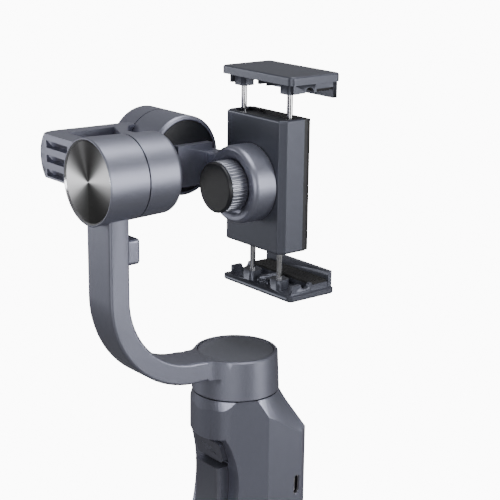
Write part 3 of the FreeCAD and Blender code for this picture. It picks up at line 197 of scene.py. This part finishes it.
# %% Bare metals
def bare_metal(name, colour, roughness, streak_scale):
    material, tree, shader, coords = new_finish(name, colour, 1.0, roughness)
    stretch = add_node(tree, "ShaderNodeMapping")
    stretch.inputs["Scale"].default_value = (1.0, 1.0, 0.08)
    tree.links.new(coords, stretch.inputs["Vector"])
    streaks = noise(tree, stretch.outputs["Vector"], streak_scale, 3.0)
    dark = tuple(c * 0.88 for c in colour)
    tree.links.new(tint(tree, streaks, dark, colour), shader.inputs["Base Color"])
    tree.links.new(spread(tree, streaks, max(0.03, roughness - 0.05), roughness + 0.06),
                   shader.inputs["Roughness"])
    return material


finishes["chrome"] = bare_metal("chrome", (0.80, 0.80, 0.82), 0.10, 900.0)
finishes["steel"] = bare_metal("steel", (0.60, 0.60, 0.62), 0.28, 700.0)
finishes["laminated_steel"] = bare_metal("laminated_steel", (0.25, 0.25, 0.27), 0.45, 1500.0)
finishes["copper"] = bare_metal("copper", (0.62, 0.28, 0.12), 0.30, 1200.0)
finishes["magnet"] = bare_metal("magnet", (0.55, 0.55, 0.56), 0.25, 600.0)
finishes["brass"] = bare_metal("brass", (0.68, 0.50, 0.24), 0.25, 800.0)
finishes["polished_ring"] = bare_metal("polished_ring", (0.72, 0.73, 0.76), 0.16, 700.0)
print("metals done")


# %% [markdown]
# ## The spun cap
# A lathe tool leaves hundreds of fine rings on the cap, so light stretches into bright wedges that
# meet at the centre. The rings are too fine to model. The wedges are painted highlights: they are laid
# into the metal's colour by a ramp over the angle round the centre, so their places are chosen and
# they don't move with the lights. Faint rings are mixed into the colour too. An anisotropic shader,
# with its tangent round the disc, then stretches the real highlights in the same way.

# %% Spun disc
# share of a full turn and brightness of each painted highlight wedge, counted from the lowest point of the
# disc
PAINTED_HIGHLIGHT_WEDGES = ((0.00, 0.05), (0.08, 0.025), (0.19, 0.03), (0.25, 0.25), (0.285, 0.80), (0.335, 0.70),
          (0.375, 0.14), (0.43, 0.05), (0.47, 0.02), (0.515, 0.03), (0.55, 0.14), (0.585, 0.03),
          (0.64, 0.03), (0.70, 0.25), (0.74, 0.85), (0.82, 0.85), (0.87, 0.18), (1.00, 0.05))

RING_PITCH = 0.0002618  # distance between the turned rings


def spun_disc(name, axis_place):
    material, tree, shader, coords = new_finish(name, (0.5, 0.5, 0.53), 1.0, 0.34, Anisotropic=0.6)
    centre = add_node(tree, "ShaderNodeMapping")
    centre.inputs["Location"].default_value = tuple(-c for c in axis_place)
    tree.links.new(coords, centre.inputs["Vector"])
    split = add_node(tree, "ShaderNodeSeparateXYZ")
    tree.links.new(centre.outputs["Vector"], split.inputs[0])
    angle = add_node(tree, "ShaderNodeMath", operation="ARCTAN2")
    flip = add_node(tree, "ShaderNodeMath", operation="MULTIPLY")
    flip.inputs[1].default_value = -1.0
    tree.links.new(split.outputs["X"], angle.inputs[0])
    tree.links.new(split.outputs["Z"], flip.inputs[0])
    tree.links.new(flip.outputs[0], angle.inputs[1])
    share = spread(tree, angle.outputs[0], 0.0, 1.0, -math.pi, math.pi)
    turned = add_node(tree, "ShaderNodeMath", operation="ADD")
    turned.inputs[1].default_value = 0.5
    tree.links.new(share, turned.inputs[0])
    wrapped = add_node(tree, "ShaderNodeMath", operation="FRACT")
    tree.links.new(turned.outputs[0], wrapped.inputs[0])
    # painted highlights: bright and dark wedges laid into the base colour by the angle round the centre
    highlight_ramp = add_node(tree, "ShaderNodeValToRGB")
    for place, level in PAINTED_HIGHLIGHT_WEDGES[1:-1]:
        highlight_ramp.color_ramp.elements.new(place).color = (level, level, level * 1.03, 1)
    highlight_ramp.color_ramp.elements[0].color = (*[PAINTED_HIGHLIGHT_WEDGES[0][1]] * 3, 1)
    highlight_ramp.color_ramp.elements[-1].color = (*[PAINTED_HIGHLIGHT_WEDGES[-1][1]] * 3, 1)
    highlight_ramp.color_ramp.interpolation = "B_SPLINE"
    tree.links.new(wrapped.outputs[0], highlight_ramp.inputs[0])
    length = add_node(tree, "ShaderNodeVectorMath", operation="LENGTH")
    tree.links.new(centre.outputs["Vector"], length.inputs[0])
    scaled = add_node(tree, "ShaderNodeMath", operation="MULTIPLY")
    scaled.inputs[1].default_value = 2 * math.pi / RING_PITCH
    tree.links.new(length.outputs["Value"], scaled.inputs[0])
    rings = add_node(tree, "ShaderNodeMath", operation="SINE")
    tree.links.new(scaled.outputs[0], rings.inputs[0])
    fine = add_node(tree, "ShaderNodeMix", data_type="RGBA", blend_type="MULTIPLY")
    sockets = [i for i in fine.inputs if i.type == "RGBA"]
    fine.inputs[0].default_value = 1.0
    tree.links.new(highlight_ramp.outputs["Color"], sockets[0])
    tree.links.new(tint(tree, spread(tree, rings.outputs[0], 0.0, 1.0, -1.0, 1.0), (0.86,) * 3, (1.0,) * 3),
                   sockets[1])
    tree.links.new(next(o for o in fine.outputs if o.type == "RGBA"), shader.inputs["Base Color"])
    tangent = add_node(tree, "ShaderNodeTangent", direction_type="RADIAL", axis="Y")
    tree.links.new(tangent.outputs["Tangent"], shader.inputs["Tangent"])
    return material


low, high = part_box("roll_cap_disc")
finishes["spun_disc"] = spun_disc("spun_disc", tuple((low + high) / 2))
print("spun disc centred at", [round(c * 1000, 1) for c in (low + high) / 2])


# %% [markdown]
# ## Smooth skins over the CAD
# A CAD node arrives as loose triangles. They have the right shape, but each has its own corners, so
# light breaks at every facet. A copy with its corners merged can be shaded smoothly, and edges
# sharper than a set angle stay crisp. The copy stands for the node and rides on the same body. The
# handle's flat facets meet at shallow angles, so it has a smaller angle of its own. Pieces inside
# the housings keep their CAD triangles, because nobody sees them.

# %% Skins
MERGE_DISTANCE = 2e-6
SHARP_ANGLE = math.radians(20)
SHALLOW = {"handle_shell": math.radians(9)}  # nodes whose flat facets meet at shallow angles


def even_normals(mesh):
    """Lets large faces set the normals at their edges, so a flat face stays flat beside a small round."""
    holder = bpy.data.objects.new("holder", mesh)
    bpy.context.scene.collection.objects.link(holder)
    modifier = holder.modifiers.new("even", "WEIGHTED_NORMAL")
    modifier.keep_sharp = True
    modifier.weight = 50
    ready = bpy.data.meshes.new_from_object(holder.evaluated_get(bpy.context.evaluated_depsgraph_get()))
    name = mesh.name
    bpy.data.objects.remove(holder)
    bpy.data.meshes.remove(mesh)
    ready.name = name
    return ready


def merged_mesh(node_name, piece_name):
    mesh = nodes[node_name].data.copy()
    mesh.name = piece_name
    work = bmesh.new()
    work.from_mesh(mesh)
    bmesh.ops.remove_doubles(work, verts=work.verts, dist=MERGE_DISTANCE)
    work.to_mesh(mesh)
    work.free()
    mesh.shade_smooth()
    mesh.set_sharp_from_angle(angle=SHALLOW.get(node_name, SHARP_ANGLE))
    return even_normals(mesh)


def skin(node_name):
    piece_name = node_name + "_skin"
    mesh = merged_mesh(node_name, piece_name)
    mesh.materials.clear()
    mesh.materials.append(finishes[slot_of[node_name]])
    piece = bpy.data.objects.new(piece_name, mesh)
    bpy.context.scene.collection.objects.link(piece)
    keep_piece(piece, node_name)


def keep_piece(piece, node_name):
    """The piece stands for the node and moves with its body; the node itself is hidden."""
    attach(piece, body_of[node_name])
    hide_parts(node_name)


INSIDE = ("stator_core", "windings", "bearings", "magnets", "shaft", "springs")
BY_RULE = ("clamp_knob", "clamp_pad", "upper_pad", "lower_pad")
for name in sorted(nodes):
    if name in BY_RULE:
        continue
    if name.endswith(INSIDE):
        nodes[name].data.materials.clear()
        nodes[name].data.materials.append(finishes[slot_of[name]])
    else:
        skin(name)


# %% [markdown]
# ## Pieces that follow a rule
# The knob's knurl and the pads' ribs each repeat one small shape. Geometry Nodes hold such a rule
# with its sizes as named inputs, so another knob or pad needs new numbers only. The result is
# turned into a plain mesh, because the piece has to travel without its tree.

# %% Geometry Nodes helpers
def new_rule(name, **inputs):
    """A tree with float inputs (int where the default is an int) and a Material; returns what it needs."""
    tree = bpy.data.node_groups.new(name, "GeometryNodeTree")
    for label, default in inputs.items():
        kind = "NodeSocketInt" if isinstance(default, int) else "NodeSocketFloat"
        socket = tree.interface.new_socket(label.replace("_", " "), in_out="INPUT", socket_type=kind)
        socket.default_value = default
    tree.interface.new_socket("Material", in_out="INPUT", socket_type="NodeSocketMaterial")
    tree.interface.new_socket("Geometry", in_out="OUTPUT", socket_type="NodeSocketGeometry")
    return tree, tree.nodes.new("NodeGroupInput"), tree.nodes.new("NodeGroupOutput")


def wire(tree, source, node, socket):
    tree.links.new(source, node.inputs[socket])


def maths(tree, operation, a, b):
    """A maths node on two sockets or numbers."""
    node = add_node(tree, "ShaderNodeMath", operation=operation)
    for socket, value in zip(node.inputs, (a, b)):
        if hasattr(value, "links"):
            tree.links.new(value, socket)
        else:
            socket.default_value = value
    return node.outputs[0]


def vector(tree, **parts):
    node = add_node(tree, "ShaderNodeCombineXYZ")
    for axis, value in parts.items():
        if hasattr(value, "links"):
            tree.links.new(value, node.inputs[axis])
        else:
            node.inputs[axis].default_value = value
    return node.outputs[0]


def close_rule(tree, group_in, group_out, *geometry):
    """Joins the parts, makes the instances real, sets the material and ends the tree."""
    join = add_node(tree, "GeometryNodeJoinGeometry")
    for part in geometry:
        tree.links.new(part, join.inputs[0])
    real = add_node(tree, "GeometryNodeRealizeInstances")
    tree.links.new(join.outputs[0], real.inputs[0])
    paint = add_node(tree, "GeometryNodeSetMaterial")
    tree.links.new(real.outputs[0], paint.inputs["Geometry"])
    tree.links.new(group_in.outputs["Material"], paint.inputs["Material"])
    tree.links.new(paint.outputs[0], group_out.inputs[0])


def grow(name, tree, place, **values):
    """Runs the tree with these inputs and returns its result as a plain mesh object, moved to place."""
    piece = bpy.data.objects.new(name, bpy.data.meshes.new(name))
    bpy.context.scene.collection.objects.link(piece)
    modifier = piece.modifiers.new("rule", "NODES")
    modifier.node_group = tree
    for item in tree.interface.items_tree:
        if item.in_out == "INPUT" and item.name.replace(" ", "_") in values:
            modifier[item.identifier] = values[item.name.replace(" ", "_")]
    mesh = bpy.data.meshes.new_from_object(piece.evaluated_get(bpy.context.evaluated_depsgraph_get()))
    piece.modifiers.clear()
    empty = piece.data
    piece.data = mesh
    bpy.data.meshes.remove(empty)
    mesh.name = name
    mesh.transform(place)
    mesh.shade_smooth()
    mesh.set_sharp_from_angle(angle=SHARP_ANGLE)
    return piece


def plain_box(tree, x, y, z):
    node = add_node(tree, "GeometryNodeMeshCube")
    tree.links.new(vector(tree, X=x, Y=y, Z=z), node.inputs["Size"])
    return node.outputs["Mesh"]


print("rule helpers ready")


# %% [markdown]
# ### The knob
# The clamp is loosened by a wheel, so it has a coarse knurl for the fingers: round ridges along a
# core. One ridge is a small ball whose two halves are moved apart, which makes a thin rod with
# domed ends, and a circle of points carries a copy of it to each place round the core.

# %% Knob
knurl, group_in, group_out = new_rule("knurl", Radius=0.010, Length=0.008, Ridge_Radius=0.0005, Ridges=40)
length, radius, ridge = (group_in.outputs[n] for n in ("Length", "Radius", "Ridge Radius"))
core = add_node(knurl, "GeometryNodeMeshCylinder", Vertices=96)
wire(knurl, maths(knurl, "SUBTRACT", radius, ridge), core, "Radius")
wire(knurl, length, core, "Depth")
points = add_node(knurl, "GeometryNodeMeshCircle")
wire(knurl, group_in.outputs["Ridges"], points, "Vertices")
wire(knurl, maths(knurl, "SUBTRACT", radius, ridge), points, "Radius")
bead = add_node(knurl, "GeometryNodeMeshUVSphere", Segments=12, Rings=8, Radius=1.0)
stretched = add_node(knurl, "GeometryNodeTransform")
wire(knurl, bead.outputs["Mesh"], stretched, "Geometry")
wire(knurl, vector(knurl, X=ridge, Y=ridge, Z=maths(knurl, "MULTIPLY", ridge, 1.2)), stretched, "Scale")
halves = add_node(knurl, "GeometryNodeSetPosition")
position = add_node(knurl, "GeometryNodeInputPosition")
parts = add_node(knurl, "ShaderNodeSeparateXYZ")
wire(knurl, position.outputs[0], parts, 0)
reach = maths(knurl, "SUBTRACT", maths(knurl, "MULTIPLY", length, 0.5), maths(knurl, "MULTIPLY", ridge, 1.6))
sign = add_node(knurl, "ShaderNodeMath", operation="SIGN")
wire(knurl, parts.outputs["Z"], sign, 0)
shift = maths(knurl, "MULTIPLY", sign.outputs[0], reach)
wire(knurl, stretched.outputs[0], halves, "Geometry")
wire(knurl, vector(knurl, Z=shift), halves, "Offset")
around = add_node(knurl, "GeometryNodeInstanceOnPoints")
wire(knurl, points.outputs["Mesh"], around, "Points")
wire(knurl, halves.outputs[0], around, "Instance")
close_rule(knurl, group_in, group_out, core.outputs["Mesh"], around.outputs["Instances"])

KNURL_RIDGES, KNURL_RIDGE_RADIUS = 42, 0.0005
low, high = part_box("clamp_knob")
middle = (Vector(low) + Vector(high)) / 2
along_y = Matrix.Translation(middle) @ Matrix.Rotation(math.radians(90), 4, "X")
knob = grow("clamp_knob_knurled", knurl, along_y, Radius=(high[0] - low[0]) / 2, Length=high[1] - low[1],
            Ridge_Radius=KNURL_RIDGE_RADIUS, Ridges=KNURL_RIDGES, Material=finishes["knob_grey"])
keep_piece(knob, "clamp_knob")
print("knob triangles:", sum(len(p.vertices) - 2 for p in knob.data.polygons))


# %% [markdown]
# ### Ribbed pads
# Rubber pads hold the phone. Ribs across the pull bend a little and grip better than a flat sheet.
# Each pad is a thin base with a row of round-topped ribs, and one tree makes all three.

# %% Pads
RIB_INSET = 0.0008  # from the pad's end to the end of a rib
PAD_RIB = 0.0009

ribbed, group_in, group_out = new_rule("ribbed_pad", Long=0.04, Wide=0.008, Thick=0.0014, Rib=0.0008, Ribs=5)
long, wide, thick, rib = (group_in.outputs[n] for n in ("Long", "Wide", "Thick", "Rib"))
base = plain_box(ribbed, long, wide, maths(ribbed, "SUBTRACT", thick, maths(ribbed, "MULTIPLY", rib, 0.5)))
sunk = add_node(ribbed, "GeometryNodeTransform")
wire(ribbed, base, sunk, "Geometry")
wire(ribbed, vector(ribbed, Z=maths(ribbed, "MULTIPLY", rib, -0.25)), sunk, "Translation")
row = add_node(ribbed, "GeometryNodeMeshLine", mode="END_POINTS")
wire(ribbed, group_in.outputs["Ribs"], row, "Count")
edge = maths(ribbed, "SUBTRACT", maths(ribbed, "MULTIPLY", wide, 0.5), rib)
crest = maths(ribbed, "SUBTRACT", maths(ribbed, "MULTIPLY", thick, 0.5), maths(ribbed, "MULTIPLY", rib, 0.5))
wire(ribbed, vector(ribbed, Y=maths(ribbed, "MULTIPLY", edge, -1.0), Z=crest), row, "Start Location")
wire(ribbed, vector(ribbed, Y=edge, Z=crest), row, "Offset")
bar = add_node(ribbed, "GeometryNodeMeshCylinder", Vertices=20)
wire(ribbed, maths(ribbed, "MULTIPLY", rib, 0.5), bar, "Radius")
wire(ribbed, maths(ribbed, "SUBTRACT", long, 2 * RIB_INSET), bar, "Depth")
lying = add_node(ribbed, "GeometryNodeTransform")
wire(ribbed, bar.outputs["Mesh"], lying, "Geometry")
wire(ribbed, vector(ribbed, Y=math.radians(90)), lying, "Rotation")
laid = add_node(ribbed, "GeometryNodeInstanceOnPoints")
wire(ribbed, row.outputs["Mesh"], laid, "Points")
wire(ribbed, lying.outputs[0], laid, "Instance")
close_rule(ribbed, group_in, group_out, sunk.outputs[0], laid.outputs["Instances"])


def extent(size, axis):
    """How long a box of that size is along an axis."""
    return sum(abs(a) * s for a, s in zip(axis, size))


# pad, direction its ribs face, direction across the ribs, number of ribs
PADS = (("clamp_pad", (0, 1, 0), (0, 0, 1), 26), ("upper_pad", (0, 0, -1), (0, 1, 0), 6),
        ("lower_pad", (0, 0, 1), (0, 1, 0), 6))
for name, face, across, ribs in PADS:
    low, high = (Vector(v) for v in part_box(name))
    size = high - low
    up_axis, cross_axis = Vector(face), Vector(across)
    long_axis = cross_axis.cross(up_axis)
    turn = Matrix((long_axis, cross_axis, up_axis)).transposed().to_4x4()
    pad = grow(name + "_ribbed", ribbed, Matrix.Translation((low + high) / 2) @ turn,
               Long=extent(size, long_axis), Wide=extent(size, cross_axis), Thick=extent(size, up_axis),
               Rib=PAD_RIB, Ribs=ribs, Material=finishes["rubber"])
    keep_piece(pad, name)
    print(name, "ribs:", ribs)


# %% [markdown]
# ## Camera
# The camera uses a long lens from the right of the finger side, a little above the motors, so the
# uprights stay nearly parallel. Its three angles make its axes: back, right and up.

# %% Camera
CAMERA_PLACE = (0.42157, -0.33202, 0.36743)
AZIMUTH, ELEVATION, ROLL = (math.radians(a) for a in (51.19, 15.69, 0.71))
camera_data = bpy.data.cameras.new("camera")
camera_data.sensor_width = 36.0
camera_data.lens = 98.1
camera_data.clip_start, camera_data.clip_end = 0.02, 20.0
camera = bpy.data.objects.new("camera", camera_data)
bpy.context.scene.collection.objects.link(camera)
back = Vector((math.sin(AZIMUTH) * math.cos(ELEVATION), -math.cos(AZIMUTH) * math.cos(ELEVATION),
               math.sin(ELEVATION)))
right = (-back).cross(Vector((0, 0, 1))).normalized()
up = right.cross(-back)
right2 = right * math.cos(ROLL) + up * math.sin(ROLL)
up2 = up * math.cos(ROLL) - right * math.sin(ROLL)
turn = Matrix((right2, up2, back)).transposed().to_4x4()
camera.matrix_world = Matrix.Translation(CAMERA_PLACE) @ turn
bpy.context.scene.camera = camera
print("camera at", [round(c, 3) for c in camera.location])


# %% [markdown]
# ## Floor, backdrop and lights
# Such a product stands in front of a plain white backdrop that is lit far more than the product.
# Here the backdrop glows only towards the camera. To every other ray it is a grey floor, so it
# doesn't wash out the paint. Four large soft boxes draw the long, soft bands on the round motors.

# %% Floor, backdrop and lights
def plain_mesh(name, points, faces):
    mesh = bpy.data.meshes.new(name)
    mesh.from_pydata(points, [], faces)
    piece = bpy.data.objects.new(name, mesh)
    bpy.context.scene.collection.objects.link(piece)
    return piece


def white_surface(name, glow, level):
    """Glows white behind the object, and is a plain grey floor to every other ray."""
    material, tree, shader, coords = new_finish(name, (level, level, level), 0.0, 0.8)
    grain = noise(tree, coords, 6.0)
    tree.links.new(tint(tree, grain, (level * 0.98,) * 3, (level,) * 3), shader.inputs["Base Color"])
    light = add_node(tree, "ShaderNodeEmission", Strength=glow)
    path = add_node(tree, "ShaderNodeLightPath")
    mix = add_node(tree, "ShaderNodeMixShader")
    tree.links.new(path.outputs["Is Camera Ray"], mix.inputs[0])
    tree.links.new(shader.outputs[0], mix.inputs[1])
    tree.links.new(light.outputs[0], mix.inputs[2])
    tree.links.new(mix.outputs[0], tree.nodes["Material Output"].inputs["Surface"])
    return material


BACKDROP_GLOW, FLOOR_GREY, FILL = 11.0, 0.12, 0.20
sweep_white = white_surface("sweep_white", BACKDROP_GLOW, FLOOR_GREY)
FLOOR_HALF = 6.0
FLOOR_Z = -0.001
corners = [(x * FLOOR_HALF, y * FLOOR_HALF, FLOOR_Z) for x, y in ((-1, -1), (1, -1), (1, 1), (-1, 1))]
floor = plain_mesh("floor", corners, [(0, 1, 2, 3)])
floor.data.materials.append(sweep_white)


def soft_light(name, place, aim, width, height, power):
    data = bpy.data.lights.new(name, "AREA")
    data.shape = "RECTANGLE"
    data.size, data.size_y = width, height
    data.energy = power
    light = bpy.data.objects.new(name, data)
    bpy.context.scene.collection.objects.link(light)
    light.location = place
    light.rotation_euler = (Vector(aim) - Vector(place)).to_track_quat("-Z", "Y").to_euler()


AIM = (0.0, -0.02, 0.24)
soft_light("top_box", (0.15, 0.15, 1.2), AIM, 0.9, 0.7, 10.0)
soft_light("left_box", (-1.0, -0.75, 0.42), AIM, 0.35, 0.8, 4.5)
soft_light("front_box", (0.85, -1.05, 0.34), AIM, 1.3, 0.32, 8.0)
soft_light("right_box", (1.05, 0.55, 0.30), AIM, 0.5, 0.9, 9.0)

world = bpy.data.worlds.new("studio")
bpy.context.scene.world = world
world.use_nodes = True
sky = world.node_tree
backing = sky.nodes["Background"]
backing.inputs["Color"].default_value = (1, 1, 1, 1)
ray = add_node(sky, "ShaderNodeLightPath")
strength = spread(sky, ray.outputs["Is Camera Ray"], FILL, BACKDROP_GLOW, 0.0, 1.0)
sky.links.new(strength, backing.inputs["Strength"])
